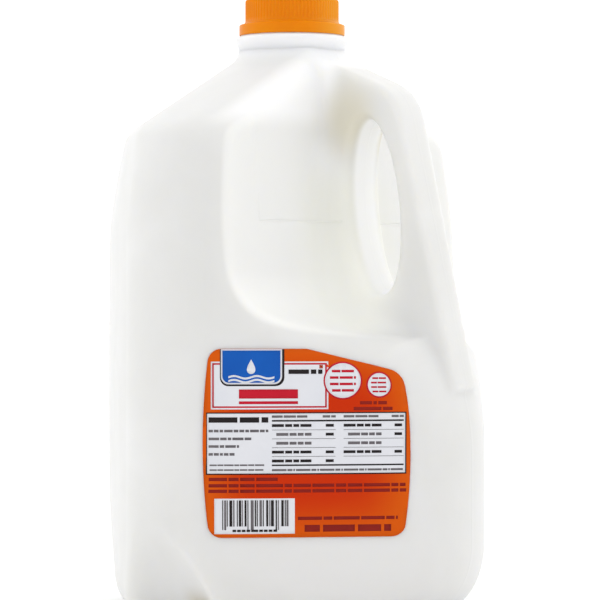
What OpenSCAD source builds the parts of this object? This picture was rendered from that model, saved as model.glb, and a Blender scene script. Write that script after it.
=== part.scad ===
// One-gallon blow-moulded milk jug: rounded-square body, handle moulded into one corner, screw cap and
// side label. +Z is up, the origin is the middle of the base, on the neck's axis. The handle points
// along +X and the mould's two halves meet in the XZ plane, so the finger hole runs along Y.

/* [Body] */
// Distance between two opposite faces
body_w = 146; // [130:1:165]
// Radius of the upright corners, seen from above
corner_r = 29; // [24:0.5:34]
// Height at which the faces turn into the sloping shoulder
shoulder_z = 198; // [188:0.5:204]
// How far each face has drawn in when it reaches the shoulder
shoulder_draw = 5; // [2:0.5:9]
// How far below the shoulder the faces start to draw in
draw_h = 42; // [28:1:58]
// How much further the corner opposite the handle has drawn in there
back_draw = 2.5; // [0:0.5:6]
// How far the middle of each face bulges
crown = 2.4; // [0:0.1:3]
// Rise of the sloping shoulder up to the neck
shoulder_h = 31; // [28:0.5:34]

/* [Base] */
// Height of the rounding under each face
base_round_h = 12; // [8:1:18]
// Depth of the rounding under each face
base_round_d = 9; // [6:1:14]
// Height of the larger rounding under the handle's corner
toe_round_h = 30; // [20:1:36]
// Depth of the larger rounding under the handle's corner
toe_round_d = 27; // [16:1:30]
// Height of the rounding under the corner opposite the handle
heel_round_h = 52; // [24:1:60]
// Depth of the rounding under the corner opposite the handle
heel_round_d = 17; // [8:1:20]
// Height of the hollow cut at the two corners beside the mould line
dish_h = 35; // [26:0.5:40]
// Depth of the hollow cut where it reaches the base
dish_d = 21; // [12:1:24]
// Radius of the hollow cut, seen from above
dish_r = 37; // [30:0.5:60]
// How far the hollow cut lies from the corner's middle, towards the handle
dish_shift = 4.4; // [0:0.2:8]
// Radius of the raised middle of the base
push_up_r = 42; // [30:1:44]
// Depth of the raised middle of the base
push_up_d = 2.5; // [1:0.5:5]

/* [Recess] */
// Lean of the recess's floor, in degrees from upright
floor_lean = 4; // [0:0.1:8]
// Wall between the recess's floor and the finger hole
floor_wall = 8.7; // [6:0.1:12]
// How gently the floor sweeps out into the ledge
sweep = 15.6; // [12:0.1:18]
// Distance inside the floor from which the sweep is measured
sweep_start = 8; // [5:0.1:10]
// How far below the ledge the body has its full corner again
corner_drop = 16.5; // [10:0.1:22]
// Rise of the slope above that corner, for each millimetre inwards
corner_rise = 1.22; // [1:0.02:1.6]

/* [Handle] */
// Thickness of the handle at its outer side
grip_t = 17; // [14:0.2:22]
// Depth of the grip, between the finger hole and its outer side
grip_d = 10.3; // [8:0.1:13]
// How far inside the full corner the grip's outer side lies, at its middle
grip_in = 20; // [16:0.2:24]
// Lean of the grip's outer side, in degrees from upright
grip_lean = 13.7; // [11:0.1:16]
// How far below the neck's foot the grip turns into the top branch
branch_drop = 16.2; // [12:0.2:20]
// Height of the top branch above the finger hole
branch_t = 11; // [8:0.2:14]
// Radius of the corner between the grip and the top branch
grip_top_r = 8; // [3:0.5:10]
// Draft of the handle's sides, in degrees
side_draft = 5; // [2:0.5:8]
// Width of the finger hole
hole_w = 22.6; // [18:0.1:28]
// Height of the finger hole
hole_h = 71.6; // [58:0.2:86]
// Lean of the finger hole, in degrees from upright
hole_lean = 5.7; // [4:0.1:8]
// Height of the finger hole's lowest point above the level that the ledge sweeps out to
hole_up = 22.2; // [18:0.2:28]

/* [Neck] */
// Radius of the neck
neck_r = 22.3; // [18:0.1:27]
// Height of the neck above the shoulder
neck_h = 9.5; // [7:0.1:13]
// Radius of the fillet at the neck's foot
neck_fillet = 3; // [1:0.5:5]
// How far the bead stands out from the neck
bead_out = 1.2; // [0.6:0.1:2]
// Thickness of the bead
bead_t = 3.6; // [2:0.2:3.6]
// How far below the neck's top the bead's middle lies
bead_drop = 2.5; // [2.4:0.1:4]
// How far the neck steps in above the bead
land_in = 1.3; // [0.6:0.1:2]

/* [Cap] */
// How far the tamper band round the cap's foot steps out over the neck's land
band_out = 1.1; // [0.5:0.1:2]
// Height of the tamper band
band_h = 5.2; // [3:0.1:6]
// Height of the slope between the band's side and its top
band_slope_h = 1; // [0.5:0.1:2]
// How far the cap's gripping part steps in above the band
band_step = 2.5; // [1:0.1:4]
// Height of the whole cap
cap_h = 15.5; // [12:0.1:20]
// Radius of the cap's top edge
cap_edge_r = 1.4; // [0.6:0.1:2.5]

/* [Label] */
// Width of the label at its middle
label_w = 82.2; // [60:0.2:100]
// Height of the label's lower edge above the base
label_z = 34.1; // [20:0.1:50]
// How far the label's top edge reaches above the level that the ledge sweeps out to
label_top = 0.7; // [-10:0.1:2]
// How far the label's middle lies from the face's middle, towards the handle
label_shift = -4; // [-6:0.1:3]
// How far the label's top edge drops at the handle's side
label_drop = 10.2; // [4:0.2:16]
// How far the label's sides bow out
label_bow = 2.6; // [0:0.2:4]
// Radius of the label's corners
label_corner_r = 5; // [3:0.5:8]
// Thickness of the label
label_t = 0.35; // [0.2:0.05:0.6]
// Clearance between the label and the face, so that their facets don't overlap
label_gap = 0.05; // [0:0.01:0.1]

/* [Hidden] */
$fn = 96;

half_w = body_w / 2;
corner_x = (half_w - corner_r) * sqrt(2) + corner_r;
turn = atan(corner_r / ((half_w - corner_r) * 2 + corner_r));    // half the angle that a corner takes up
draw_z = shoulder_z - draw_h;
neck_z = shoulder_z + shoulder_h;
neck_slope = shoulder_h / (half_w - shoulder_draw - neck_r);
neck_top_z = neck_z + neck_h;
land_r = neck_r - land_in;

// The handle hangs from the neck's foot: its top corner, then the finger hole, then the ledge below
branch_z = neck_z - branch_drop;
grip_z = branch_z - branch_t - hole_h / 2;
ledge_z = grip_z - hole_h / 2 - hole_up;
corner_z = ledge_z - corner_drop;
grip_x = corner_x - grip_in;
hole_x = grip_x - grip_d - hole_w / 2;
floor_x = hole_x - hole_w / 2 - floor_wall;
label_h = ledge_z + label_top - label_z;

over = 1;                       // how far a cut reaches past the surface that it opens
root = 12;                      // how far the handle reaches into the body behind the recess's floor
blend = 8;                      // how widely the faces turn into the shoulder
label_step = 3;                 // widest spacing of the label's columns, so that they follow the corner too

// ---- body: rings of points, each at its distance from the axis ----
function soft_min(a, b, k) = min(a, b) - pow(max(k - abs(a - b), 0), 2) / (4 * k);

// Distance to a rounded square of half-width w whose corners, of radius r, lie on the X and Y axes
function square_ray(a, w, r) =
    let (off = abs((a + 360) % 90 - 45),
         corner = (w - r) * sqrt(2),
         side = corner * sin(45 - off))
    w * tan(off) <= w - r ? w / cos(off) : corner * cos(45 - off) + sqrt(r * r - side * side);

function round_in(z, h, d) = z >= h ? 0 : d * (1 - sqrt(1 - pow(1 - z / h, 2)));

// How much direction a belongs to the handle's corner (side 1) or the corner opposite it (side -1)
function corner_share(a, side) = pow(max(side * cos(a), 0), 12);

// Inset of the base's rounding: small under the faces, larger under the two corners on the mould line
function base_inset(a, z) =
    let (toe = corner_share(a, 1), heel = corner_share(a, -1))
    (1 - toe - heel) * round_in(z, base_round_h, base_round_d)
    + toe * round_in(z, toe_round_h, toe_round_d)
    + heel * round_in(z, heel_round_h, heel_round_d);

// Share of the whole draw that is reached at height z
function draw_share(z) = pow(max(z - draw_z, 0) / (shoulder_z - draw_z), 1.3);

// Bulge of a filled jug's faces: most in the middle of each, none at the corners, base and shoulder
function face_bulge(a, z) =
    let (across = abs((a + 360) % 90 - 45) / (45 - turn), up = z / shoulder_z)
    across > 1 || up > 1 ? 0 : crown * (1 - pow(across, 4)) * pow(sin(180 * up), 0.6);

function shoulder_w(z) = neck_r + (neck_z - z) / neck_slope;

function body_ray(a, z) =
    let (wall = square_ray(a, half_w - shoulder_draw * draw_share(z), corner_r)
             - back_draw * draw_share(z) * corner_share(a, -1) - base_inset(a, z) + face_bulge(a, z),
         shoulder = shoulder_w(z))
    z < draw_z ? wall : soft_min(wall, square_ray(a, shoulder, min(shoulder, corner_r)), blend);

// Directions of the points of one ring: close together round each corner, wide apart along the faces
quarter = concat([for (i = [-4:4]) turn * i / 4], [for (i = [1:6]) turn + (90 - 2 * turn) * i / 7]);
angles = [for (c = [0:90:270]) for (a = quarter) c + a];
heights = concat(
    [for (i = [0:6]) base_round_h * (1 - cos(15 * i))],
    [for (i = [1:8]) base_round_h + (draw_z - base_round_h) * i / 9],
    [for (i = [0:4]) draw_z + (shoulder_z - 1.5 * blend - draw_z) * i / 4],
    [for (i = [-9:2:9]) shoulder_z + blend * i / 8],
    [for (i = [1:4]) shoulder_z + 9 / 8 * blend + (shoulder_h - 9 / 8 * blend) * i / 4]);

module body_shell() {
    count = len(angles);
    rings = len(heights);
    points = [for (z = heights) for (a = angles)
        let (r = body_ray(a, z))
        [r * cos(a), r * sin(a), z]];
    sides = [for (j = [0:rings - 2]) for (i = [0:count - 1])
        let (low = j * count, high = low + count, n = (i + 1) % count)
        [low + i, high + i, high + n, low + n]];
    bottom = [for (i = [0:count - 1]) i];
    top = [for (i = [count - 1:-1:0]) (rings - 1) * count + i];
    polyhedron(points, concat(sides, [bottom, top]), convexity = 4);
}

// ---- what is cut from the body ----
// Turns an outline drawn in X and Z into a slab of thickness t about the XZ plane
module slab(t) {
    translate([0, t / 2, 0]) rotate([90, 0, 0]) linear_extrude(t) children();
}

// Finger recess: a floor that sweeps out into a ledge, and a slope down to the full corner
module recess() {
    floor_z = ledge_z + sweep * sweep / sweep_start;
    floor_top_z = neck_z + over;
    low_x = corner_x - (corner_drop + sweep / 4) / corner_rise;
    reach = [for (i = [0:14]) floor_x + (low_x - floor_x) * pow(i / 14, 1.5)];
    slab(4 * half_w)
    polygon(concat(
        [[floor_x - (floor_top_z - floor_z) * tan(floor_lean), floor_top_z]],
        [for (x = reach) [x, ledge_z + sweep * sweep / (x - floor_x + sweep_start)]],
        [[corner_x + over, corner_z - over * corner_rise], [corner_x + over, floor_top_z]]));
}

module finger_hole() {
    slab(body_w)
    polygon([for (a = [0:6:354])
        let (up = hole_h / 2 * sin(a))
        [hole_x + hole_w / 2 * cos(a) - up * tan(hole_lean), grip_z + up]]);
}

// Leaning cylinders that hollow the two corners beside the mould line, deepest at the base
module dishes() {
    lean = atan(dish_d / dish_h);
    for (side = [0, 1])
        mirror([0, side, 0])
        translate([dish_shift, corner_x - dish_d, 0])
        rotate([-lean, 0, 0])
        translate([0, dish_r, -dish_h])
        cylinder(h = 3 * dish_h, r = dish_r);
}

module push_up() {
    translate([0, 0, -over])
    cylinder(h = push_up_d + over, r1 = push_up_r + over, r2 = push_up_r - push_up_d);
}

// ---- handle: the grip and its top branch, drafted on both sides of the mould line ----
module handle() {
    root_x = floor_x - root;
    foot_z = corner_z - over;
    spare = 2 * grip_top_r;     // keeps the other corners' rounding out of what is left of the outline
    top_x = grip_x - (branch_z - grip_z) * tan(grip_lean);
    foot_x = grip_x - (foot_z - spare - grip_z) * tan(grip_lean);
    branch_slope = (branch_drop - over) / (top_x - neck_r);
    root_z = branch_z + (top_x - root_x) * branch_slope;
    root_t = grip_t / 2 + (grip_x - root_x) * tan(side_draft);
    toe_t = grip_t / 2 + (grip_x - corner_x) * tan(side_draft);
    intersection() {
        slab(body_w)
        offset(r = grip_top_r) offset(delta = -grip_top_r)
        polygon([[root_x - spare, foot_z - spare], [foot_x, foot_z - spare],
                 [top_x, branch_z], [root_x, root_z], [root_x - spare, root_z]]);
        translate([0, 0, foot_z])
        linear_extrude(neck_z)
        polygon([[root_x, -root_t], [corner_x, -toe_t], [corner_x, toe_t], [root_x, root_t]]);
    }
}

// ---- neck, with a fillet at its foot and the bead that stops the cap's band ----
module neck() {
    turn_up = 90 - atan(neck_slope);
    fillet_z = neck_z + neck_fillet * tan(turn_up / 2);
    bead_z = neck_top_z - bead_drop;
    rotate_extrude()
    polygon(concat(
        [[0, neck_z - 2 * neck_fillet], [neck_r + neck_fillet / 2, neck_z - 2 * neck_fillet]],
        [for (t = [4:-1:0])
            [neck_r + neck_fillet * (1 - cos(turn_up * t / 4)), fillet_z - neck_fillet * sin(turn_up * t / 4)]],
        [for (a = [-90:30:90]) [neck_r + bead_out * cos(a), bead_z + bead_t / 2 * sin(a)]],
        [[land_r, bead_z + bead_t / 2], [land_r, neck_top_z], [0, neck_top_z]]));
}

module jug() {
    color([0.93, 0.93, 0.92])
    difference() {
        union() {
            difference() {
                body_shell();
                recess();
            }
            handle();
            neck();
        }
        finger_hole();
        dishes();
        push_up();
    }
}

module cap() {
    band_r = land_r + band_out;
    cap_r = band_r - band_step;
    color([0.92, 0.5, 0.12])
    translate([0, 0, neck_top_z])
    rotate_extrude()
    polygon(concat(
        [[0, 0], [band_r, 0], [band_r, band_h - band_slope_h], [cap_r, band_h]],
        [for (a = [0:15:90]) [cap_r - cap_edge_r * (1 - cos(a)), cap_h - cap_edge_r * (1 - sin(a))]],
        [[0, cap_h]]));
}

// ---- label: a thin sheet of points that follows the face it is stuck to ----
// How far a side steps in at a distance d from an edge, where the corner is rounded
function corner_in(d) = d >= label_corner_r ? 0
    : label_corner_r - sqrt(pow(label_corner_r, 2) - pow(label_corner_r - d, 2));

// The label's point at u across and v up, each from 0 to 1, flat: X towards the handle, Y up
function label_flat(u, v) =
    let (low_side = label_w / 2 - label_bow * pow(2 * v - 1, 2),
         side = low_side - corner_in(v * label_h) - corner_in((1 - v) * label_h),
         x = side * (2 * u - 1),
         drop = label_drop * max(x, 0) / (label_w / 2))
    [x + label_shift, v * (label_h - drop)];

// The same point on the jug's face, raised by h
function on_face(flat, h) =
    let (z = label_z + flat[1], a = atan(flat[0] / half_w) - 45, r = body_ray(a, z) + h)
    [r * cos(a), r * sin(a), z];

module label() {
    across = ceil(label_w / label_step);
    rows = concat([0, 0.01, 0.03], [for (i = [1:13]) i / 14], [0.97, 0.99, 1]);
    row_count = len(rows);
    layer = row_count * (across + 1);
    points = [for (h = [label_gap, label_gap + label_t]) for (v = rows) for (i = [0:across])
        on_face(label_flat(i / across, v), h)];
    function at(side, row, i) = side * layer + row * (across + 1) + i;
    sheets = [for (row = [0:row_count - 2]) for (i = [0:across - 1])
        each [[at(0, row, i), at(0, row, i + 1), at(0, row + 1, i + 1), at(0, row + 1, i)],
              [at(1, row, i), at(1, row + 1, i), at(1, row + 1, i + 1), at(1, row, i + 1)]]];
    edge = concat(
        [for (i = [0:across - 1]) [0, i]],
        [for (row = [0:row_count - 2]) [row, across]],
        [for (i = [across:-1:1]) [row_count - 1, i]],
        [for (row = [row_count - 1:-1:1]) [row, 0]]);
    rim = [for (i = [0:len(edge) - 1])
        let (p = edge[i], q = edge[(i + 1) % len(edge)])
        [at(0, p[0], p[1]), at(1, p[0], p[1]), at(1, q[0], q[1]), at(0, q[0], q[1])]];
    color([0.84, 0.33, 0.08])
    polyhedron(points, concat(sheets, rim), convexity = 4);
}

jug();
cap();
label();
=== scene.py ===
"""Looks of a one-gallon milk jug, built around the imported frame.

Lengths are millimetres until mesh() makes metres. Materials, lamps and the camera work in metres.
"""

import math

import bmesh
import bpy
import numpy as np
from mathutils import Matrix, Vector


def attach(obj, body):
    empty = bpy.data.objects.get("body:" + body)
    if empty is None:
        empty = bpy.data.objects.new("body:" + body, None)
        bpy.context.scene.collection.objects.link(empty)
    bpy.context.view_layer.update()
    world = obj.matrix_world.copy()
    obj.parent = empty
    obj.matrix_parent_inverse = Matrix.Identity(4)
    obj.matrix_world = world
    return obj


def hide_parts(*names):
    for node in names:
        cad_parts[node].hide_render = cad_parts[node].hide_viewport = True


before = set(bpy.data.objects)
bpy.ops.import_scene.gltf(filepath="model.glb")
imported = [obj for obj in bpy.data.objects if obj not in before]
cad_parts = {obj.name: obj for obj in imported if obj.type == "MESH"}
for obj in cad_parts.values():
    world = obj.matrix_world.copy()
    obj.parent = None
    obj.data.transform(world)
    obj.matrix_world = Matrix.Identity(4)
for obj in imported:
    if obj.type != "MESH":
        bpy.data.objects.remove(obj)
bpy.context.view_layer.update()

# ---- sizes, as in the CAD source ----
BODY_W, CORNER_R = 146.0, 29.0
SHOULDER_Z, SHOULDER_H, SHOULDER_DRAW = 198.0, 31.0, 5.0
DRAW_H, BACK_DRAW, CROWN = 42.0, 2.5, 2.4
BASE_ROUND, TOE_ROUND, HEEL_ROUND = (12.0, 9.0), (30.0, 27.0), (52.0, 17.0)   # height, depth
DISH_H, DISH_D, DISH_R, DISH_SHIFT = 35.0, 21.0, 37.0, 4.4
PUSH_UP_R, PUSH_UP_D = 42.0, 2.5
FLOOR_LEAN, FLOOR_WALL, SWEEP, SWEEP_START = 4.0, 8.7, 15.6, 8.0
CORNER_DROP, CORNER_RISE = 16.5, 1.22
GRIP_T, GRIP_D, GRIP_IN, GRIP_LEAN = 17.0, 10.3, 20.0, 13.7
BRANCH_DROP, BRANCH_T, GRIP_TOP_R, SIDE_DRAFT = 16.2, 11.0, 8.0, 5.0
HOLE_W, HOLE_H, HOLE_LEAN, HOLE_UP = 22.6, 71.6, 5.7, 22.2
NECK_R, NECK_H, NECK_FILLET = 22.3, 9.5, 3.0
BEAD_OUT, BEAD_T, BEAD_DROP, LAND_IN = 1.2, 3.6, 2.5, 1.3
BAND_OUT, BAND_H, BAND_SLOPE_H, BAND_STEP = 1.1, 5.2, 1.0, 2.5
CAP_H, CAP_EDGE_R = 15.5, 1.4
LABEL_W, LABEL_Z, LABEL_TOP, LABEL_SHIFT = 82.2, 34.1, 0.7, -4.0
LABEL_DROP, LABEL_BOW, LABEL_CORNER_R, LABEL_T, LABEL_GAP = 10.2, 2.6, 5.0, 0.35, 0.05

HALF_W = BODY_W / 2
CORNER_X = (HALF_W - CORNER_R) * math.sqrt(2) + CORNER_R
TURN = math.degrees(math.atan(CORNER_R / ((HALF_W - CORNER_R) * 2 + CORNER_R)))
DRAW_Z = SHOULDER_Z - DRAW_H
NECK_Z = SHOULDER_Z + SHOULDER_H
NECK_SLOPE = SHOULDER_H / (HALF_W - SHOULDER_DRAW - NECK_R)
NECK_TOP_Z = NECK_Z + NECK_H
LAND_R = NECK_R - LAND_IN
BRANCH_Z = NECK_Z - BRANCH_DROP
GRIP_Z = BRANCH_Z - BRANCH_T - HOLE_H / 2
LEDGE_Z = GRIP_Z - HOLE_H / 2 - HOLE_UP
CORNER_Z = LEDGE_Z - CORNER_DROP
GRIP_X = CORNER_X - GRIP_IN
HOLE_X = GRIP_X - GRIP_D - HOLE_W / 2
FLOOR_X = HOLE_X - HOLE_W / 2 - FLOOR_WALL
LABEL_H = LEDGE_Z + LABEL_TOP - LABEL_Z
BAND_R = LAND_R + BAND_OUT
CAP_R = BAND_R - BAND_STEP

# ---- sizes of what only the visual model has ----
BLEND = 5.5             # rounding between the walls and the shoulder, crisper than the CAD's
CELL = 1.6              # spacing of the jug's mesh
NECK_CUT_Z = 233.2      # where the body's mesh hands over to the neck's finer one
LIP = 1.6               # how far the faces flare out beside the recess
LIP_W = 11.0            # width of that flare
PANEL_D = 0.5           # depth of the panel embossed in the recess's floor
PANEL_Y, PANEL_Z = 58.0, 160.0      # where its sides and its foot lie
SWEPT_TOP_Z = LEDGE_Z + SWEEP ** 2 / SWEEP_START    # where the recess's upright edge meets the swept ledge
SHEET_STEP = 3.0        # largest cell of the label's pieces
INK_T = 0.02            # thickness of one layer of print
FILM_LIFT = 0.02        # how far the film's underside lies off the jug
# widths of the roundings, each followed by what is added to it (or taken off it) in some places
RIM, RIM_LOW, RIM_TOP = 2.0, 15.0, 6.0              # the recess's edge: more low by the corner, and on top
ROOT, ROOT_LOW = 4.0, 12.0                          # the handle's root: more low down and inwards
HOLE_RIM, HOLE_RIM_OUT = 4.5, 2.5                   # the finger hole's rim: crisper on its outer side
DISH_RIM, DISH_RIM_BACK = 1.2, 5.0                  # the dishes' rim: more on the side away from the handle
BLADE_EDGE, PUSH_UP_RIM, BASE_EDGE = 2.6, 1.5, 1.2  # the handle's edges, the push-up's rim, the base's edge
RIBS, RIB_POINTS, RIB_D = 80, 8, 0.32               # the cap's ribs, the points of each and their depth
NECK_POINTS = 160       # points round the neck

# ---- the view and the light round the jug, in degrees and metres ----
VIEW_AZ, VIEW_D, VIEW_Z, VIEW_SIDE = 37.3, 1.33, 0.128, 0.00335
PIXELS_PER_METRE, IMAGE_W, SENSOR_W = 2385, 600, 36.0       # scale of the picture at the jug's axis
WORLD_BASE = 1.02
# each lobe: the side that it comes from, in degrees round from -Y, its rise, its sharpness and its gain
WORLD_LOBES = ((VIEW_AZ - 10, 0.0, 1.5, -0.15), (VIEW_AZ - 60, 0.2, 1.5, 0.16),
               (VIEW_AZ + 75, 0.2, 1.5, 0.04), (VIEW_AZ + 150, 0.2, 1.0, 0.36), (0, 50.0, 1.5, 0.16))
FLOOR_FAR, FLOOR_DROP = 12.0, 0.0002    # the floor's half-width, and how far it lies below the base


def tan(degrees):
    return math.tan(math.radians(degrees))


def smooth_step(low, high, x):
    t = np.clip((x - low) / (high - low), 0, 1)
    return t * t * (3 - 2 * t)


def soft_min(a, b, k):
    """min(a, b), rounded over a width that may vary from point to point."""
    return np.minimum(a, b) - np.maximum(k - np.abs(a - b), 0) ** 2 / (4 * np.maximum(k, 1e-6))


def soft_max(a, b, k):
    return -soft_min(-a, -b, k)


# ---- the body, as a distance from the axis in each direction ----
def square_ray(a, w, r):
    """Distance to a rounded square of half-width w whose corners, of radius r, lie on the X and Y axes."""
    off = np.radians(np.abs((a + 360) % 90 - 45))
    corner = (w - r) * math.sqrt(2)
    turned = math.pi / 4 - off
    side = corner * np.sin(turned)
    flat = w / np.cos(off)
    bent = corner * np.cos(turned) + np.sqrt(np.maximum(r * r - side * side, 0))
    return np.where(w * np.tan(off) <= w - r, flat, bent)


def round_in(z, h, d):
    up = np.clip(1 - z / h, 0, 1)
    return d * (1 - np.sqrt(1 - up * up))


def corner_share(a, side):
    return np.maximum(side * np.cos(np.radians(a)), 0) ** 12


def body_ray(a, z):
    toe, heel = corner_share(a, 1), corner_share(a, -1)
    base = (1 - toe - heel) * round_in(z, *BASE_ROUND) + toe * round_in(z, *TOE_ROUND)
    base = base + heel * round_in(z, *HEEL_ROUND)
    drawn = (np.maximum(z - DRAW_Z, 0) / DRAW_H) ** 1.3
    across = np.abs((a + 360) % 90 - 45) / (45 - TURN)
    up = np.clip(z / SHOULDER_Z, 0, 1)
    bulge = CROWN * np.maximum(1 - across ** 4, 0) * np.sin(np.pi * up) ** 0.6
    wall = square_ray(a, HALF_W - SHOULDER_DRAW * drawn, CORNER_R)
    wall = wall - BACK_DRAW * drawn * corner_share(a, -1) - base + bulge
    shoulder = NECK_R + (NECK_Z - z) / NECK_SLOPE
    shoulder = np.maximum(shoulder, 1.0)
    slope = square_ray(a, shoulder, np.minimum(shoulder, CORNER_R))
    return np.where(z < DRAW_Z, wall, soft_min(wall, slope, BLEND))


# ---- flat outlines in X and Z, as signed distances ----
def outline_distance(x, z, points):
    """Signed distance to a closed outline: negative inside."""
    p = np.array(points, float)
    q = np.roll(p, -1, axis=0)
    best = np.full(np.broadcast(x, z).shape, 1e9)
    inside = np.zeros(best.shape, bool)
    for (ax, az), (bx, bz) in zip(p, q):
        dx, dz = bx - ax, bz - az
        t = np.clip(((x - ax) * dx + (z - az) * dz) / (dx * dx + dz * dz), 0, 1)
        best = np.minimum(best, np.hypot(x - ax - t * dx, z - az - t * dz))
        if az != bz:
            crosses = ((az > z) != (bz > z)) & (x < dx * (z - az) / dz + ax)
            inside ^= crosses
    return np.where(inside, -best, best)


def recess_outline():
    far = 3 * BODY_W
    low_x = CORNER_X - (CORNER_DROP + SWEEP / 4) / CORNER_RISE
    steps = [FLOOR_X + (low_x - FLOOR_X) * (i / 40) ** 1.5 for i in range(41)]
    swept = [(x, LEDGE_Z + SWEEP ** 2 / (x - FLOOR_X + SWEEP_START)) for x in steps]
    return ([(FLOOR_X - (far - SWEPT_TOP_Z) * tan(FLOOR_LEAN), far)] + swept
            + [(CORNER_X + far, CORNER_Z - far * CORNER_RISE), (CORNER_X + far, far)])


def handle_outline():
    top_x = GRIP_X - (BRANCH_Z - GRIP_Z) * tan(GRIP_LEAN)
    foot_z = CORNER_Z - 60
    foot_x = GRIP_X - (foot_z - GRIP_Z) * tan(GRIP_LEAN)
    slope = (BRANCH_DROP - 1) / (top_x - NECK_R)
    return [(0, foot_z), (foot_x, foot_z), (top_x, BRANCH_Z), (0, BRANCH_Z + top_x * slope)]


def jug_field(xs, ys, zs):
    """The jug's solid as a field, in about millimetres from its surface: negative inside."""
    x, y = np.meshgrid(xs, ys, indexing="ij")
    radius = np.maximum(np.hypot(x, y), 1e-6)
    angle = np.degrees(np.arctan2(y, x))
    flat_x, flat_z = xs[:, None], zs[None, :]
    height = zs[None, None, :]

    # the body, with its slope taken out so that the field is a distance
    wall = np.empty((len(xs), len(ys), len(zs)))
    for k, z in enumerate(zs):
        wall[:, :, k] = radius - body_ray(angle, np.full(angle.shape, max(z, 0.0)))
    steep = np.gradient(wall, CELL, axis=2)
    wall /= np.sqrt(1 + np.clip(steep, -3, 3) ** 2)

    # the flare beside the recess, which fades out before the handle's corner and below the shoulder
    recess = outline_distance(flat_x, flat_z, recess_outline())[:, None, :]
    beside = 1 - smooth_step(0, LIP_W, recess)
    away = smooth_step(8, 40, np.abs(y))[:, :, None]
    lip_at = smooth_step(LEDGE_Z - 2, LEDGE_Z + 22, height)
    lip_at = lip_at * (1 - smooth_step(SHOULDER_Z - 8, SHOULDER_Z + 2, height))
    body = wall - LIP * beside * away * lip_at

    # the recess: a crisp upright edge, and a rim over the ledge that rounds more towards the corner
    low = 1 - smooth_step(LEDGE_Z + 20, LEDGE_Z + 60, height)
    rim = RIM + RIM_LOW * smooth_step(30, 66, x)[:, :, None] * low
    rim = rim + RIM_TOP * smooth_step(SHOULDER_Z - 6, SHOULDER_Z + 6, height)
    panel = soft_panel(y[:, :, None], height)
    floor = -(recess + panel)
    carved = soft_max(body, floor, rim)

    # the handle
    side = (np.abs(y) - GRIP_T / 2 - (GRIP_X - x) * tan(SIDE_DRAFT)) * math.cos(math.radians(SIDE_DRAFT))
    profile = outline_distance(flat_x, flat_z, handle_outline())
    profile = round_corner(profile, flat_x, flat_z)[:, None, :]
    blade = soft_max(side[:, :, None], profile, BLADE_EDGE)
    blade = np.maximum(blade, CORNER_Z + 1 - height)
    low = 1 - smooth_step(GRIP_Z + 16, GRIP_Z + 34, height)
    root = ROOT + ROOT_LOW * low * (1 - smooth_step(48, 76, x))[:, :, None]
    solid = soft_min(carved, blade, root)

    # the neck's foot, then what is cut from everything
    turn_up = 90 - math.degrees(math.atan(NECK_SLOPE))
    neck = soft_max(radius[:, :, None] - NECK_R, NECK_Z - 12 - height, 1.0)
    solid = soft_min(solid, neck, 2.2 * NECK_FILLET * tan(turn_up / 2))
    solid = np.maximum(solid, height - NECK_CUT_Z)
    hole = ellipse_distance(flat_x, flat_z)[:, None, :]
    outer = smooth_step(HOLE_X - 5, HOLE_X + 5, x)[:, :, None]
    solid = soft_max(solid, -hole, HOLE_RIM - HOLE_RIM_OUT * outer)
    lean = math.atan(DISH_D / DISH_H)
    across = np.abs(y)[:, :, None]
    from_x = (x - DISH_SHIFT)[:, :, None]
    depth = (across - (CORNER_X - DISH_D)) * math.cos(lean) - height * math.sin(lean)
    dish = np.hypot(from_x, depth - DISH_R) - DISH_R
    back = 1 - smooth_step(-14, 6, from_x)
    solid = soft_max(solid, -dish, DISH_RIM + DISH_RIM_BACK * back)
    push = np.minimum(PUSH_UP_R - height - radius[:, :, None], PUSH_UP_D - height)
    solid = soft_max(solid, push, PUSH_UP_RIM)
    return soft_max(solid, -height, BASE_EDGE)


def soft_panel(y, z):
    """A shallow panel in the recess's floor, its sides beside the handle and its foot above the ledge."""
    inset = np.minimum(PANEL_Y - np.abs(y), z - PANEL_Z)
    return -PANEL_D * smooth_step(-1, 1.5, inset)


def round_corner(profile, x, z):
    """Rounds the outline's one corner that shows, where the grip turns into the top branch."""
    top_x = GRIP_X - (BRANCH_Z - GRIP_Z) * tan(GRIP_LEAN)
    slope = (BRANCH_DROP - 1) / (top_x - NECK_R)
    outer = (x - GRIP_X + (z - GRIP_Z) * tan(GRIP_LEAN)) * math.cos(math.radians(GRIP_LEAN))
    upper = (z - BRANCH_Z + (x - top_x) * slope) * math.cos(math.atan(slope))
    return np.maximum(profile, soft_max(outer, upper, 1.2 * GRIP_TOP_R))


def ellipse_distance(x, z):
    up = z - GRIP_Z
    u = (x - HOLE_X + up * tan(HOLE_LEAN)) / (HOLE_W / 2)
    v = up / (HOLE_H / 2)
    size = np.sqrt(u * u + v * v)
    slope = np.hypot(u / (HOLE_W / 2), v / (HOLE_H / 2)) / np.maximum(size, 1e-6)
    return (size - 1) / np.maximum(slope, 1e-4)


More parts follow.
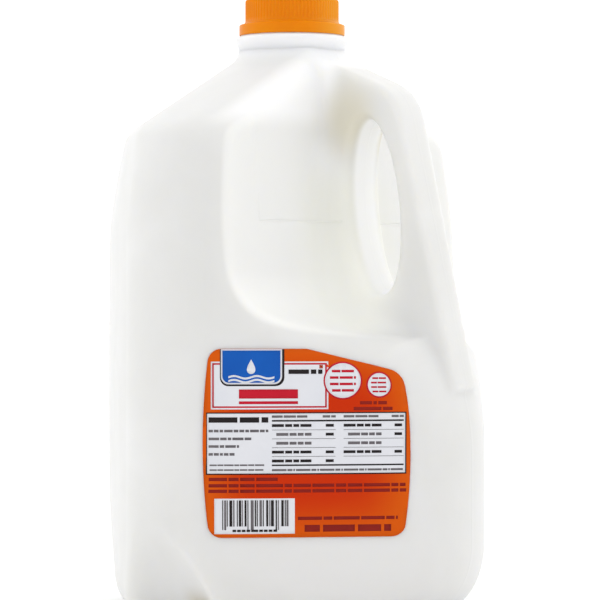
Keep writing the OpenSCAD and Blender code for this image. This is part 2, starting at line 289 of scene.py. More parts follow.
def surface_net(field, xs, ys, zs):
    """Quads through the cells that the surface crosses, each vertex at the mean of its cell's crossings."""
    inside = field < 0
    nx, ny, nz = field.shape
    total = np.zeros((nx - 1, ny - 1, nz - 1, 3))
    count = np.zeros((nx - 1, ny - 1, nz - 1))
    corners = [(i, j, k) for i in (0, 1) for j in (0, 1) for k in (0, 1)]
    for a in corners:
        for axis in range(3):
            if a[axis]:
                continue
            b = tuple(1 if n == axis else v for n, v in enumerate(a))
            fa = field[a[0]:nx - 1 + a[0], a[1]:ny - 1 + a[1], a[2]:nz - 1 + a[2]]
            fb = field[b[0]:nx - 1 + b[0], b[1]:ny - 1 + b[1], b[2]:nz - 1 + b[2]]
            cross = (fa < 0) != (fb < 0)
            t = np.where(cross, fa / np.where(fa == fb, 1, fa - fb), 0)
            for n in range(3):
                total[..., n] += np.where(cross, a[n] + (t if n == axis else 0), 0)
            count += cross
    used = count > 0
    index = np.full(used.shape, -1)
    index[used] = np.arange(used.sum())
    cell = np.argwhere(used)
    verts = cell + total[used] / count[used][:, None]
    verts = verts * CELL + np.array([xs[0], ys[0], zs[0]])
    quads = []
    for axis in range(3):
        u, v = [(1, 2), (2, 0), (0, 1)][axis]
        lo = [slice(1, -1)] * 3
        hi = [slice(1, -1)] * 3
        lo[axis], hi[axis] = slice(0, -1), slice(1, None)
        first, second = inside[tuple(lo)], inside[tuple(hi)]
        for flips, changed in ((False, first & ~second), (True, ~first & second)):
            at = np.argwhere(changed)
            at = at + np.array([0 if n == axis else 1 for n in range(3)])
            ring = []
            for du, dv in ((1, 1), (0, 1), (0, 0), (1, 0)):
                c = at.copy()
                c[:, u] -= du
                c[:, v] -= dv
                ring.append(index[c[:, 0], c[:, 1], c[:, 2]])
            ring = np.stack(ring, 1)
            quads.append(ring[:, ::-1] if flips else ring)
    return verts, np.concatenate(quads)


def sample(field, xs, ys, zs, points):
    """The field between its grid points."""
    at = (points - np.array([xs[0], ys[0], zs[0]])) / CELL
    low = np.clip(np.floor(at).astype(int), 0, np.array(field.shape) - 2)
    t = at - low
    value = np.zeros(len(points))
    for i in (0, 1):
        for j in (0, 1):
            for k in (0, 1):
                weight = np.abs(1 - i - t[:, 0]) * np.abs(1 - j - t[:, 1]) * np.abs(1 - k - t[:, 2])
                value += weight * field[low[:, 0] + i, low[:, 1] + j, low[:, 2] + k]
    return value


def smoothed_onto(verts, quads, field, grid, rounds=3):
    """Evens out the net, pulling each vertex back to the surface after each round."""
    n = len(verts)
    ends = np.concatenate([quads[:, [i, (i + 1) % 4]] for i in range(4)])
    degree = np.bincount(ends[:, 0], minlength=n) + np.bincount(ends[:, 1], minlength=n)
    slope = [np.gradient(field, CELL, axis=axis) for axis in range(3)]
    for _ in range(rounds):
        mean = np.zeros_like(verts)
        for axis in range(3):
            mean[:, axis] = (np.bincount(ends[:, 0], verts[ends[:, 1], axis], n)
                             + np.bincount(ends[:, 1], verts[ends[:, 0], axis], n)) / degree
        verts = 0.5 * verts + 0.5 * mean
        for _ in range(2):
            value = sample(field, *grid, verts)
            g = np.stack([sample(s, *grid, verts) for s in slope], 1)
            g2 = np.maximum((g * g).sum(1), 0.2)
            verts = verts - np.clip(value / g2, -1, 1)[:, None] * g
    return verts


# ---- meshes ----
def mesh(name, verts, faces, slot, material, replaces=()):
    data = bpy.data.meshes.new(name)
    data.from_pydata([tuple(v) for v in np.asarray(verts) / 1000.0], [], [tuple(map(int, f)) for f in faces])
    data.polygons.foreach_set("use_smooth", [True] * len(data.polygons))
    data.materials.append(material)
    data.validate()
    obj = bpy.data.objects.new(name, data)
    bpy.context.scene.collection.objects.link(obj)
    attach(obj, "root")
    if replaces:
        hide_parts(*replaces)
    return obj


# ---- materials ----
class Nodes:
    """A material's node tree, with short calls for its nodes. past, above, rise and fall take millimetres."""

    def __init__(self, name):
        self.material = bpy.data.materials.new(name)
        self.material.use_nodes = True
        self.tree = self.material.node_tree
        self.shader = self.tree.nodes["Principled BSDF"]
        self.place = self.tree.nodes.new("ShaderNodeTexCoord").outputs["Object"]

    def add(self, kind, inputs=None, **settings):
        node = self.tree.nodes.new(kind)
        for key, value in settings.items():
            setattr(node, key, value)
        for key, value in (inputs or {}).items():
            self.put(node.inputs[key], value)
        return node

    def put(self, socket, value):
        if isinstance(value, bpy.types.NodeSocket):
            self.tree.links.new(value, socket)
        else:
            socket.default_value = value

    def math(self, operation, *values):
        return self.add("ShaderNodeMath", dict(enumerate(values)), operation=operation).outputs[0]

    def product(self, first, *others):
        for value in others:
            first = self.math("MULTIPLY", first, value)
        return first

    def past(self, value, length):
        """How far a coordinate lies past a length."""
        return self.math("SUBTRACT", value, length / 1000)

    def above(self, value, length):
        """How far a coordinate lies past a length, and 0 short of it."""
        return self.math("MAXIMUM", self.past(value, length), 0.0)

    def rise(self, value, low, high):
        """From 0 at a low length to 1 at a high one."""
        return self.spread(value, low / 1000, high / 1000)

    def fall(self, value, low, high):
        """From 1 at a low length to 0 at a high one."""
        return self.spread(value, low / 1000, high / 1000, 1.0, 0.0)

    def distance(self, *offsets):
        """Length of the vector that the offsets make."""
        squares = [self.math("MULTIPLY", offset, offset) for offset in offsets]
        total = squares[0]
        for square in squares[1:]:
            total = self.math("ADD", total, square)
        return self.math("SQRT", total)

    def noise(self, scale, detail=3.0, roughness=0.5, distortion=0.0):
        inputs = {"Vector": self.place, "Scale": scale, "Detail": detail,
                  "Roughness": roughness, "Distortion": distortion}
        return self.add("ShaderNodeTexNoise", inputs).outputs["Fac"]

    def spread(self, value, low, high, to_low=0.0, to_high=1.0):
        inputs = {0: value, 1: low, 2: high, 3: to_low, 4: to_high}
        return self.add("ShaderNodeMapRange", inputs, interpolation_type="SMOOTHSTEP").outputs[0]

    def blend(self, share, first, second):
        node = self.add("ShaderNodeMix", data_type="RGBA")
        for socket, value in zip((node.inputs[0], node.inputs[6], node.inputs[7]), (share, first, second)):
            self.put(socket, value)
        return node.outputs[2]

    def axes(self):
        return self.add("ShaderNodeSeparateXYZ", {0: self.place}).outputs

    def bump(self, height, distance):
        inputs = {"Height": height, "Distance": distance, "Strength": 1.0}
        self.put(self.shader.inputs["Normal"], self.add("ShaderNodeBump", inputs).outputs[0])

    def finish(self, colour, roughness, **fixed):
        self.put(self.shader.inputs["Base Color"], colour)
        self.put(self.shader.inputs["Roughness"], roughness)
        for key, value in fixed.items():
            self.shader.inputs[key.replace("_", " ")].default_value = value
        return self.material


def srgb(red, green, blue):
    """A colour given as 0 to 255 on a screen."""
    def linear(v):
        v /= 255.0
        return v / 12.92 if v <= 0.04045 else ((v + 0.055) / 1.055) ** 2.4
    return (linear(red), linear(green), linear(blue), 1.0)


def ledge_painted_highlights(n, colour, x, z, past_floor):
    """Painted highlights: paler on the upright edge of the recess, and on the swept ledge below it."""
    upright = n.product(n.rise(past_floor, -3, -1), n.fall(past_floor, 2, 12))
    high = n.rise(z, SWEPT_TOP_Z - 12, SWEPT_TOP_Z + 16)
    # painted highlight on the recess's upright edge, high up
    colour = n.blend(n.product(upright, high), colour, srgb(227, 227, 225))

    # 1 on the ledge's own curve, which is where the product of the two offsets is SWEEP squared
    swept = n.product(n.above(z, LEDGE_Z), n.above(x, FLOOR_X - SWEEP_START))
    swept = n.math("DIVIDE", swept, (SWEEP / 1000) ** 2)
    swept = n.product(n.spread(swept, 0.7, 0.95), n.spread(swept, 1.3, 2.2, 1.0, 0.0))
    low = n.product(n.math("SUBTRACT", 1.0, high), n.fall(x, 42, 75))
    # painted highlight along the swept ledge, low down towards the corner
    return n.blend(n.product(swept, low), colour, srgb(234, 234, 232))


def top_painted_light_and_dish_shade(n, colour, x, aside, z, past_floor):
    """Painted highlight on the shoulder's ridge above the recess and painted light on the neck; painted
    shade, dark and brownish, at one end of each dish.
    """
    ridge = n.fall(n.math("ABSOLUTE", past_floor), 3, 12)
    ridge = n.product(ridge, n.rise(z, SHOULDER_Z - 2, SHOULDER_Z + 8))
    neck_painted_light = n.rise(z, NECK_Z - 4, NECK_Z + 4)
    # painted highlight on the ridge and painted light on the neck, in one pale colour
    colour = n.blend(n.math("MAXIMUM", ridge, neck_painted_light), colour, srgb(238, 238, 238))
    dish_end = n.distance(n.past(x, 13), n.past(aside, 77))
    shade = n.product(n.fall(dish_end, 2, 12), n.fall(z, 2, 16))
    # painted shade at the dish's end, low by the base
    return n.blend(shade, colour, srgb(190, 181, 158))


def recess_painted_light_and_shade(n, colour, x, aside, z):
    """Painted light low in the recess beside the handle, painted shade, darker and warmer, in its deep upper
    corner, and the palest painted light in the hole.
    """
    beside = n.fall(n.distance(n.past(x, FLOOR_X + 9), n.past(aside, 14)), 6, 30)
    below = n.product(beside, n.fall(z, GRIP_Z + 4, GRIP_Z + 24), n.rise(z, LEDGE_Z - 24, LEDGE_Z - 6))
    paler = n.blend(n.rise(z, LEDGE_Z + 18, GRIP_Z), srgb(239, 239, 233), srgb(227, 227, 220))
    # painted light: paler low in the recess beside the handle
    colour = n.blend(below, colour, paler)
    flattened = n.product(n.past(z, GRIP_Z + 36), 0.8)
    deep = n.distance(n.past(x, FLOOR_X + 8), n.past(aside, 10), flattened)
    # painted shade, darker and warmer, in the recess's deep upper corner under the handle's top
    colour = n.blend(n.fall(deep, 3, 18), colour, srgb(211, 207, 192))

    # 1 on the hole's own ellipse
    up = n.past(z, GRIP_Z)
    over = n.math("ADD", n.past(x, HOLE_X), n.product(up, tan(HOLE_LEAN)))
    ring = n.distance(n.math("DIVIDE", up, HOLE_H / 2000), n.math("DIVIDE", over, HOLE_W / 2000))
    thin = n.product(n.spread(ring, 1.0, 1.35, 1.0, 0.0), n.fall(aside, 5, 9.5))
    # painted light, palest, on the finger hole's wall
    return n.blend(thin, colour, srgb(241, 241, 240))


def panel_groove(n, x, aside, z):
    """1 on the outline of the panel in the recess's floor."""
    foot = n.fall(n.math("ABSOLUTE", n.past(z, PANEL_Z)), 0.1, 0.6)
    foot = n.product(foot, n.math("LESS_THAN", aside, PANEL_Y / 1000))
    edge = n.fall(n.math("ABSOLUTE", n.past(aside, PANEL_Y)), 0.1, 0.6)
    edge = n.product(edge, n.fall(z, PANEL_Z + 2, PANEL_Z + 16), n.math("GREATER_THAN", z, PANEL_Z / 1000))
    on_floor = n.math("LESS_THAN", n.math("ABSOLUTE", n.past(x, FLOOR_X)), 0.006)
    return n.product(n.math("MAXIMUM", foot, edge), on_floor)


def jug_plastic():
    """Milky blow-moulded plastic: faint unevenness in tone and gloss, with painted highlights, painted light
    and painted shade that follow the jug's shape, the mould's parting line as a fine bead and the panel's
    outline as a fine groove."""
    n = Nodes("jug_plastic")
    x, y, z = n.axes()[0:3]
    cloud = n.noise(22.0, 4.0, 0.55, 0.4)
    fine = n.noise(900.0, 2.0)
    ripple = n.noise(60.0, 3.0, 0.5)
    aside = n.math("ABSOLUTE", y)
    leaning = n.product(n.above(z, SWEPT_TOP_Z), tan(FLOOR_LEAN))
    past_floor = n.math("ADD", n.past(x, FLOOR_X), leaning)
    colour = n.blend(n.spread(cloud, 0.3, 0.7), srgb(217, 217, 215), srgb(221, 221, 220))
    colour = ledge_painted_highlights(n, colour, x, z, past_floor)
    colour = top_painted_light_and_dish_shade(n, colour, x, aside, z, past_floor)
    colour = recess_painted_light_and_shade(n, colour, x, aside, z)

    parting = n.fall(aside, 0.2, 0.8)
    height = n.math("ADD", n.product(ripple, 0.25), n.product(fine, 0.02))
    height = n.math("ADD", height, n.product(parting, 0.1))
    height = n.math("SUBTRACT", height, n.product(panel_groove(n, x, aside, z), 0.3))
    n.bump(height, 0.0007)
    rough = n.spread(ripple, 0.2, 0.8, 0.36, 0.46)
    return n.finish(colour, rough, Subsurface_Weight=0.6, Subsurface_Radius=(0.008, 0.0075, 0.006),
                    Subsurface_Scale=1.0, IOR=1.49, Specular_IOR_Level=0.4)


def cap_plastic():
    """Polypropylene cap: faint unevenness in tone and gloss, and painted light that makes it paler on its
    +X+Y side.
    """
    n = Nodes("cap_plastic")
    x, y = n.axes()[0:2]
    cloud = n.noise(45.0, 3.0, 0.5)
    fine = n.noise(1400.0, 2.0)
    deep = n.blend(n.spread(cloud, 0.3, 0.7), srgb(221, 124, 0), srgb(226, 131, 0))
    # painted light: the colour grows paler towards the cap's +X+Y side
    aside = n.math("ADD", x, n.math("MULTIPLY", y, 0.8))
    colour = n.blend(n.rise(aside, 6, 26), deep, srgb(226, 146, 30))
    n.bump(n.math("ADD", n.product(fine, 0.05), n.product(cloud, 0.3)), 0.0004)
    rough = n.spread(cloud, 0.2, 0.8, 0.3, 0.4)
    return n.finish(colour, rough, Subsurface_Weight=0.2, Subsurface_Radius=(0.003, 0.0015, 0.0005),
                    Subsurface_Scale=1.0, IOR=1.49, Specular_IOR_Level=0.1)


def printed(name, first, second, roughness=0.34):
    """An ink on the label's film: its tone drifts a little, with a fine print grain."""
    n = Nodes(name)
    cloud = n.noise(38.0, 3.0, 0.5)
    grain = n.noise(2600.0, 2.0)
    colour = n.blend(n.spread(cloud, 0.3, 0.7), srgb(*first), srgb(*second))
    n.bump(n.math("ADD", n.product(grain, 0.04), n.product(cloud, 0.3)), 0.0003)
    rough = n.spread(cloud, 0.2, 0.8, roughness, roughness + 0.08)
    return n.finish(colour, rough, IOR=1.46, Specular_IOR_Level=0.15)


def label_orange():
    """The label's ground: redder in the middle and paler towards its sides."""
    n = Nodes("label_film")
    x, y, z = n.axes()[0:3]
    along = n.product(n.math("ADD", x, y), math.sqrt(0.5))
    across = n.math("DIVIDE", n.past(along, LABEL_SHIFT), LABEL_W / 2000)
    up = n.math("DIVIDE", n.past(z, LABEL_Z + LABEL_H / 2), LABEL_H / 2000)
    far = n.math("SQRT", n.math("ADD", n.math("POWER", n.math("ABSOLUTE", across), 4.0),
                                n.math("POWER", n.math("ABSOLUTE", up), 4.0)))
    cloud = n.noise(30.0, 3.0, 0.5)
    grain = n.noise(2600.0, 2.0)
    edge = n.spread(n.math("ADD", far, n.product(cloud, 0.2)), 0.35, 1.15)
    colour = n.blend(edge, srgb(190, 46, 3), srgb(204, 84, 6))
    n.bump(n.math("ADD", n.product(grain, 0.04), n.product(cloud, 0.3)), 0.0003)
    return n.finish(colour, n.spread(cloud, 0.2, 0.8, 0.3, 0.4), IOR=1.46, Specular_IOR_Level=0.08)


# ---- the jug ----
def make_jug(material):
    reach = CORNER_X + 2 * CELL
    xs = np.arange(-reach, reach + CELL, CELL)
    zs = np.arange(-2 * CELL, NECK_CUT_Z + 3 * CELL, CELL)
    field = jug_field(xs, xs, zs)
    verts, quads = surface_net(field, xs, xs, zs)
    verts = smoothed_onto(verts, quads, field, (xs, xs, zs))
    mesh("jug_body", verts, quads, "jug_plastic", material, ["jug"])
    return field, (xs, xs, zs)


def revolved(profile, count, ripple=None):
    """A closed solid of revolution from a profile of radius and height that starts and ends on the axis."""
    turns = np.arange(count) * 2 * math.pi / count
    verts, rows = [], []
    for i, (r, z) in enumerate(profile):
        if r < 1e-6:
            rows.append([len(verts)] * count)
            verts.append((0.0, 0.0, z))
            continue
        rows.append(list(range(len(verts), len(verts) + count)))
        ray = r + (ripple(turns, i) if ripple else 0 * turns)
        verts.extend(zip(ray * np.cos(turns), ray * np.sin(turns), np.full(count, z)))
    faces = []
    for low, high in zip(rows, rows[1:]):
        for i in range(count):
            j = (i + 1) % count
            ring = [low[i], low[j], high[j], high[i]]
            faces.append([v for k, v in enumerate(ring) if v != ring[k - 1]])
    return verts, faces


def arc(centre, radius, start, end, steps):
    """Points of an arc in radius and height, angles in degrees; radius may be a pair."""
    rx, rz = radius if isinstance(radius, tuple) else (radius, radius)
    turns = [math.radians(start + (end - start) * i / steps) for i in range(steps + 1)]
    return [(centre[0] + rx * math.cos(t), centre[1] + rz * math.sin(t)) for t in turns]


def make_neck(material):
    """The neck above the body's mesh, with its bead, whose upper side slopes up to under the cap."""
    bead_z = NECK_TOP_Z - BEAD_DROP
    low = NECK_CUT_Z - 2.2
    profile = [(0, low), (NECK_R + 0.04, low), (NECK_R + 0.04, low + 0.2), (NECK_R + 0.03, low + 0.6)]
    foot = bead_z - BEAD_T / 2 - 1.8
    steps = [i / 10 for i in range(11)]
    profile += [(NECK_R + BEAD_OUT * smooth_step(0, 1, t), foot + (bead_z + 0.2 - foot) * t) for t in steps]
    profile += arc((NECK_R + BEAD_OUT - 0.9, bead_z + 0.8), (0.9, 1.1), 10, 90, 6)
    profile += [(NECK_R - 0.6, NECK_TOP_Z), (0, NECK_TOP_Z)]
    mesh("jug_neck", *revolved(profile, NECK_POINTS), "jug_plastic", material)


# ---- the cap ----
def make_cap(material):
    """A ribbed screw cap over a smooth tamper band with a bevelled top, its upper face slightly sunk."""
    base = NECK_TOP_Z
    top = base + CAP_H
    profile = [(0, base + 0.02), (BAND_R - 1.2, base + 0.02)]
    profile += arc((BAND_R - 0.35, base + 0.37), 0.35, -90, 0, 4)
    profile += arc((BAND_R - 0.5, base + BAND_H - BAND_SLOPE_H - 0.1), 0.5, 0, 55, 4)
    profile += arc((CAP_R + 0.75, base + BAND_H + 0.35), 0.5, 250, 180, 4)
    smooth_rows = len(profile)
    ribbed_top = top - CAP_EDGE_R
    foot = base + BAND_H + 0.7
    profile += [(CAP_R, foot + (ribbed_top - foot) * i / 10) for i in range(11)]
    ribbed_rows = len(profile)
    profile += arc((CAP_R - CAP_EDGE_R, ribbed_top), CAP_EDGE_R, 12, 90, 7)
    sunk = top - 0.5
    profile += [(CAP_R - 3.2, top), (CAP_R - 3.6, top - 0.15), (CAP_R - 3.8, top - 0.45), (CAP_R - 4.4, sunk)]
    profile += [(6.0, sunk), (2.0, sunk), (0, sunk)]

    def ripple(turns, row):
        if not smooth_rows <= row < ribbed_rows + 4:
            return 0 * turns
        fade = min(1.0, 0.25 + (row - smooth_rows) * 0.4)
        if row >= ribbed_rows:
            fade *= 1 - (row - ribbed_rows) / 4
        wave = 0.5 - 0.5 * np.cos(turns * RIBS)
        return -RIB_D * fade * wave ** 0.7

    mesh("cap_body", *revolved(profile, RIBS * RIB_POINTS, ripple), "cap_plastic", material, ["cap"])


# ---- the label: shapes drawn flat, in millimetres across and up, then laid on the jug's surface ----
def rectangle(left, right, low, high):
    return [(left, low), (right, low), (right, high), (left, high)]


def rounded(left, right, low, high, radii, steps=6):
    """A rectangle whose corners are rounded by radii, from the lower left one round by the lower right."""
    points = []
    for (x, y, sx, sy, start), r in zip(((left, low, 1, 1, 180), (right, low, -1, 1, 270),
                                         (right, high, -1, -1, 0), (left, high, 1, -1, 90)), radii):
        if r <= 0:
            points.append((x, y))
        else:
            points += arc((x + sx * r, y + sy * r), r, start, start + 90, steps)
    return points


def disc(x, y, r, steps=48):
    return arc((x, y), r, 0, 360 - 360 / steps, steps - 1)


def frame_strips(left, right, low, high, t):
    return [rectangle(left, right, low, low + t), rectangle(left, right, high - t, high),
            rectangle(left, left + t, low + t, high - t), rectangle(right - t, right, low + t, high - t)]


def words(left, right, low, high, lengths):
    """A line of plain dashes in place of words, their lengths in turn from a short list."""
    shapes, x, i = [], left, 0
    gap = 0.45 * (high - low)
    while x < right - gap:
        end = min(x + lengths[i % len(lengths)] * (high - low), right)
        if end - x > gap:
            shapes.append(rectangle(x, end, low, high))
        x, i = end + gap, i + 1
    return shapes


def label_outline():
    """The label's edge: rounded corners, bowed sides and a top edge that drops towards the handle."""
    def side(v):
        def corner(d):
            r = LABEL_CORNER_R
            return 0 if d >= r else r - math.sqrt(r * r - (r - d) ** 2)
        half = LABEL_W / 2 - LABEL_BOW * (2 * v - 1) ** 2
        return half - corner(v * LABEL_H) - corner((1 - v) * LABEL_H)

    def place(x, v):
        drop = LABEL_DROP * max(x, 0) / (LABEL_W / 2)
        return (x + LABEL_SHIFT, v * (LABEL_H - drop))

    rows = [0, 0.001, 0.004, 0.01, 0.02, 0.035, 0.055] + [0.08 + 0.84 * i / 16 for i in range(17)]
    rows += [0.945, 0.965, 0.98, 0.99, 0.996, 0.999, 1]
    right = [place(side(v), v) for v in rows]
    left = [place(-side(v), v) for v in reversed(rows)]
    return right + [place(0, 1)] + left


class Surface:
    """Lays flat points on the side of the jug that carries the label, raised a little."""

    def __init__(self, field, grid):
        self.field, self.grid = field, grid

    def lay(self, flat, raised):
        flat = np.asarray(flat, float)
        angle = np.degrees(np.arctan(flat[:, 0] / HALF_W)) - 45
        z = LABEL_Z + flat[:, 1]
        ray = body_ray(angle, z)
        way = np.stack([np.cos(np.radians(angle)), np.sin(np.radians(angle)), 0 * angle], 1)
        place = np.stack([0 * z, 0 * z, z], 1)
        for _ in range(4):
            ray = ray - sample(self.field, *self.grid, way * ray[:, None] + place)
        return way * (ray + raised)[:, None] + place


def sheet(name, shapes, surface, raised, slot, material, thick=0.0):
    """Flat shapes as one thin piece that follows the jug: cut into small cells, then laid on it."""
    bm = bmesh.new()
    for shape in shapes:
        bm.faces.new([bm.verts.new((x, y, 0)) for x, y in shape])
    for axis in (0, 1):
        coords = [v.co[axis] for v in bm.verts]
        cut = math.ceil(min(coords) / SHEET_STEP) * SHEET_STEP
        while cut < max(coords):
            at = Vector((cut, 0, 0)) if axis == 0 else Vector((0, cut, 0))
            normal = Vector((1, 0, 0)) if axis == 0 else Vector((0, 1, 0))
            geometry = bm.verts[:] + bm.edges[:] + bm.faces[:]
            bmesh.ops.bisect_plane(bm, geom=geometry, dist=1e-5, plane_co=at, plane_no=normal)
            cut += SHEET_STEP
    bmesh.ops.recalc_face_normals(bm, faces=bm.faces[:])
    for face in bm.faces:
        if face.normal.z < 0:
            face.normal_flip()
    bm.verts.index_update()
    flat = [(v.co.x, v.co.y) for v in bm.verts]
    faces = [[v.index for v in f.verts] for f in bm.faces]
    edges = [[loop.vert.index, loop.link_loop_next.vert.index] for f in bm.faces
             for loop in f.loops if len(loop.edge.link_faces) == 1]
    bm.free()
    n = len(flat)
    verts = np.concatenate([surface.lay(flat, raised), surface.lay(flat, raised - thick)])
    solid = faces + [[v + n for v in reversed(f)] for f in faces] + [[b, a, a + n, b + n] for a, b in edges]
    return mesh(name, verts, solid, slot, material)


def make_label(surface):
    film = LABEL_GAP + LABEL_T
    orange = label_orange()
    white = printed("print_white", (216, 217, 222), (211, 213, 219))
    red = printed("print_red", (190, 22, 44), (178, 16, 38))
    blue = printed("print_blue", (14, 88, 176), (10, 78, 164))
    dark = printed("print_black", (28, 24, 26), (38, 32, 32), 0.4)
    maroon = printed("print_maroon", (122, 22, 14), (134, 28, 16), 0.4)
    grey = printed("print_grey", (96, 92, 96), (108, 104, 106), 0.4)

    base = sheet("label_film", [label_outline()], surface, film, "label_film", orange,
                 film - FILM_LIFT)
    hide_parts("label")

    # left, right, low and high of the tab, the panel that it overlaps, the table and the code; then the discs
    tab = (-37.9, -12.6, 59.9, LABEL_H - 0.1)
    panel = (-41.7, 4.3, 50.7, 69.6)
    facts = (-43.8, 35.3, 24.9, 49.5)
    code = (-40.3, -8.6, 1.5, 15.5)
    discs = ((9.9, 62.0, 7.5), (24.2, 60.3, 5.2))

    def layer(name, level, shapes, material):
        sheet(name, shapes, surface, film + level * INK_T, "label_film", material, INK_T)

    layer("label_white_low", 1, [rectangle(*panel), rectangle(*code)], white)
    inside = (panel[0] + 0.6, panel[1] - 0.6, panel[2] + 0.6, panel[3] - 0.6)
    layer("label_red_low", 2, frame_strips(*inside, 0.65)
          + [disc(x, y, r) for x, y, r in discs], red)
    layer("label_black_low", 3, [rectangle(*facts), rounded(*tab, (3.4, 3.4, 0, 0))], dark)
    layer("label_white", 4, [rectangle(facts[0] + 0.55, facts[1] - 0.55, facts[2] + 0.5, facts[3] - 0.45),
                             rounded(tab[0] + 0.4, tab[1] - 0.9, tab[2] + 0.7, tab[3], (3.1, 3.1, 0, 0))]
          + [disc(x, y, r - 0.6) for x, y, r in discs], white)
    blue_tab = rounded(tab[0] + 1.0, tab[1] - 1.5, tab[2] + 1.3, tab[3] - 0.5, (2.7, 2.7, 0, 0))
    layer("label_blue", 5, [blue_tab], blue)

    # a plain drop over two waves, in place of a name
    middle = (tab[0] + tab[1]) / 2 - 0.2
    drop = [(middle + 2.3 * math.sin(t) * math.sin(t / 2) ** 1.4, 67.6 + 2.9 * math.cos(t))
            for t in (2 * math.pi * i / 40 for i in range(1, 40))]
    waves = [wave(middle - 9, middle + 9, y, 0.8) for y in (63.4, 61.9)]
    layer("label_marks_white", 6, [drop] + [cell for w in waves for cell in w], white)

    # the panel's bold band with a thin one below, where a word stood, and lines of dashes
    red_marks = [rectangle(-30.2, -7.4, 55.0, 58.6), rectangle(-30.2, -7.4, 52.8, 53.9)]
    for x, y, r in discs:
        for i in range(4):
            line_y = y + r * (0.5 - 0.34 * i)
            half = 0.74 * math.sqrt(max((r - 0.6) ** 2 - (line_y - y) ** 2, 0))
            red_marks += words(x - half, x + half, line_y - r * 0.065, line_y + r * 0.065, (3.4, 5.2, 2.6))
    layer("label_marks_red", 7, red_marks, red)

    black_marks = words(-11.0, 2.0, 64.7, 66.4, (4.6, 1.2))
    black_marks += words(-42.6, -18.8, 45.5, 47.6, (5.6, 3.6))
    grey_marks = []
    for y, end, lengths in ((42.2, -18.8, (1.8, 1.9, 1.4, 3.4)), (39.1, -25.2, (4.4, 2.6, 1.4)),
                            (36.1, -30.2, (4.2, 1.8)), (33.0, -31.3, (1.8, 2.0, 1.2))):
        grey_marks += words(-42.6, end, y - 0.5, y + 0.5, lengths)
    for y, end in ((28.7, -20.4), (26.8, -20.7)):
        grey_marks += words(-42.2, end, y - 0.3, y + 0.3, (5.0, 4.0, 6.5, 3.2))

    # the table: two columns of rows, ruled apart, under one thick rule and over another
    for left, right, rows in ((-17.4, 7.1, 5), (10.2, 34.1, 4)):
        for i in range(rows):
            y = 44.3 - 3.5 * i
            bold = i in (0, 3, 4)
            start = left + (0 if bold else 1.7)
            line = words(start, left + 0.62 * (right - left), y - 0.55, y + 0.55, (4.2, 2.4, 2.0))
            share = [] if i == 2 else words(right - 3.8, right - 0.4, y - 0.55, y + 0.55, (2.8,))
            (black_marks if bold else grey_marks).extend(line)
            black_marks += share
            if i < rows - 1 or rows == 4:
                black_marks.append(rectangle(left, right, y - 1.82, y - 1.68))
        grey_marks += words(left, left + 13.6, 47.4, 48.3, (4.6, 5.2))
        grey_marks += words(right - 5.0, right, 47.4, 48.3, (3.2,))
    black_marks += [rectangle(-17.4, 34.1, 45.85, 46.5), rectangle(-17.4, 34.1, 28.3, 28.9)]
    grey_marks += words(-17.4, 33.8, 26.3, 27.1, (7.0, 2.4, 0.8))

    # a code of plain stripes
    x, i = code[0] + 3.3, 0
    while x < code[1] - 2.4:
        width = (0.35, 0.75, 0.35, 1.1, 0.5, 0.35, 0.9)[i % 7]
        low = code[2] + (1.6 if i % 9 < 2 else 3.0)
        (grey_marks if i % 3 == 1 else black_marks).append(rectangle(x, x + width, low, code[3] - 0.7))
        x += width + (0.45, 0.3, 0.7, 0.4, 0.95)[i % 5]
        i += 1
    digits = (code[0] + 7.4, code[1] - 6.6, code[2] + 0.8, code[2] + 1.7)
    black_marks += words(*digits, (1.6, 1.6, 1.6, 1.6, 3.0))
    layer("label_marks_black", 7, black_marks, dark)
    layer("label_marks_grey", 7, grey_marks, grey)

    maroon_marks = words(16.6, 27.2, 52.5, 53.8, (3.6, 1.0)) + words(14.1, 29.6, 50.2, 51.5, (8.4, 3.0))
    for y, end in ((23.1, -15.2), (20.6, 35.0), (18.4, 35.3)):
        maroon_marks += words(-43.5, end, y - 0.65, y + 0.65, (6.5, 3.1, 4.4, 8.0, 2.2, 5.2))
    maroon_marks += words(-7.4, 31.9, 6.9, 8.2, (7.2, 2.6, 7.8))
    maroon_marks += words(-4.8, 29.2, 2.2, 4.9, (2.2, 4.6, 3.4))
    layer("label_marks_maroon", 1, maroon_marks, maroon)


def wave(left, right, y, t):
    """A wavy stripe, as cells."""
    steps = 24
    points = [(left + (right - left) * i / steps, y + 0.5 * math.sin(4 * math.pi * i / steps))
              for i in range(steps + 1)]
    return [[(x0, y0 - t / 2), (x1, y1 - t / 2), (x1, y1 + t / 2), (x0, y0 + t / 2)]
            for (x0, y0), (x1, y1) in zip(points, points[1:])]


# ---- the scene ----
def soft_box(name, place, target, size, power):
    lamp = bpy.data.lights.new(name, "AREA")
    lamp.shape, lamp.size, lamp.size_y, lamp.energy = "RECTANGLE", size[0], size[1], power
    obj = bpy.data.objects.new(name, lamp)
    obj.location = place
    obj.rotation_euler = (Vector(target) - Vector(place)).to_track_quat("-Z", "Y").to_euler()
    bpy.context.scene.collection.objects.link(obj)


def make_floor():
    n = Nodes("floor_paper")
    colour = n.blend(n.spread(n.noise(6.0, 2.0), 0.3, 0.7), srgb(250, 250, 250), srgb(252, 252, 252))
    material = n.finish(colour, n.spread(n.noise(40.0, 2.0), 0.2, 0.8, 0.8, 0.9))
    data = bpy.data.meshes.new("floor")
    corners = ((-1, -1), (1, -1), (1, 1), (-1, 1))
    data.from_pydata([(u * FLOOR_FAR, v * FLOOR_FAR, -FLOOR_DROP) for u, v in corners], [], [(0, 1, 2, 3)])
    data.materials.append(material)
    floor = bpy.data.objects.new("floor", data)
    bpy.context.scene.collection.objects.link(floor)


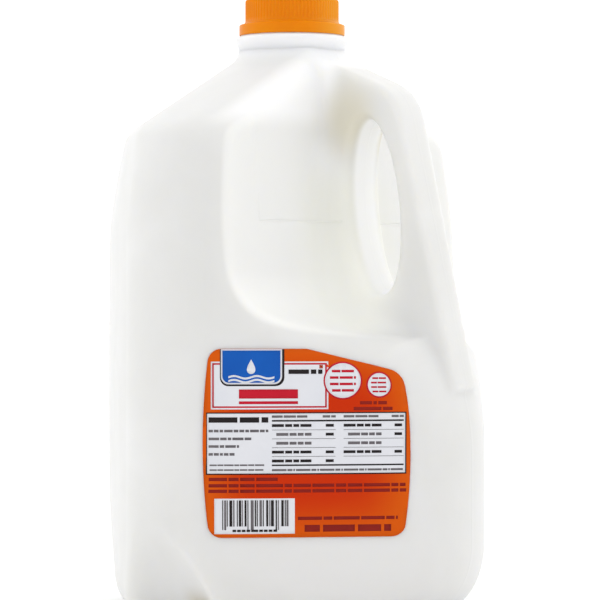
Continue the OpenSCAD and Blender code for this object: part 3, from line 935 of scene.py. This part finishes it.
def make_world():
    """White all round: brighter from behind and above, a little so from both sides, dimmer from the front."""
    world = bpy.data.worlds.new("studio")
    bpy.context.scene.world = world
    world.use_nodes = True
    tree = world.node_tree
    ground = tree.nodes["Background"]
    way = tree.nodes.new("ShaderNodeTexCoord").outputs["Generated"]

    def add(kind, values, **settings):
        node = tree.nodes.new(kind)
        for key, value in settings.items():
            setattr(node, key, value)
        for i, value in enumerate(values):
            if isinstance(value, bpy.types.NodeSocket):
                tree.links.new(value, node.inputs[i])
            else:
                node.inputs[i].default_value = value
        return node

    strength = WORLD_BASE
    for degrees, up, power, gain in WORLD_LOBES:
        turn = math.radians(degrees)
        axis = Vector((math.sin(turn), -math.cos(turn), up)).normalized()
        dot = add("ShaderNodeVectorMath", [way, axis], operation="DOT_PRODUCT").outputs["Value"]
        facing = add("ShaderNodeMath", [dot, 0.0], operation="MAXIMUM").outputs[0]
        lobe = add("ShaderNodeMath", [facing, power], operation="POWER").outputs[0]
        strength = add("ShaderNodeMath", [lobe, gain, strength], operation="MULTIPLY_ADD").outputs[0]
    tree.links.new(strength, ground.inputs["Strength"])
    ground.inputs["Color"].default_value = (1.0, 1.0, 1.0, 1.0)


def make_camera():
    az = math.radians(VIEW_AZ)
    data = bpy.data.cameras.new("camera")
    data.sensor_width = SENSOR_W
    data.lens = PIXELS_PER_METRE * VIEW_D * SENSOR_W / IMAGE_W
    data.clip_end = 100
    camera = bpy.data.objects.new("camera", data)
    camera.location = (VIEW_D * math.sin(az) + VIEW_SIDE * math.cos(az),
                       -VIEW_D * math.cos(az) + VIEW_SIDE * math.sin(az), VIEW_Z)
    camera.rotation_euler = (math.radians(90), 0, az)
    bpy.context.scene.collection.objects.link(camera)
    bpy.context.scene.camera = camera


make_camera()
plastic = jug_plastic()
field, grid = make_jug(plastic)
make_neck(plastic)
make_cap(cap_plastic())
make_label(Surface(field, grid))
make_floor()
make_world()
soft_box("left_box", (-1.5, -0.6, 0.7), (0, 0, 0.12), (0.8, 1.4), 1.2)
soft_box("right_box", (1.5, 0.3, 0.6), (0, 0, 0.14), (0.8, 1.4), 0.5)
bpy.context.scene.view_settings.view_transform = "Standard"
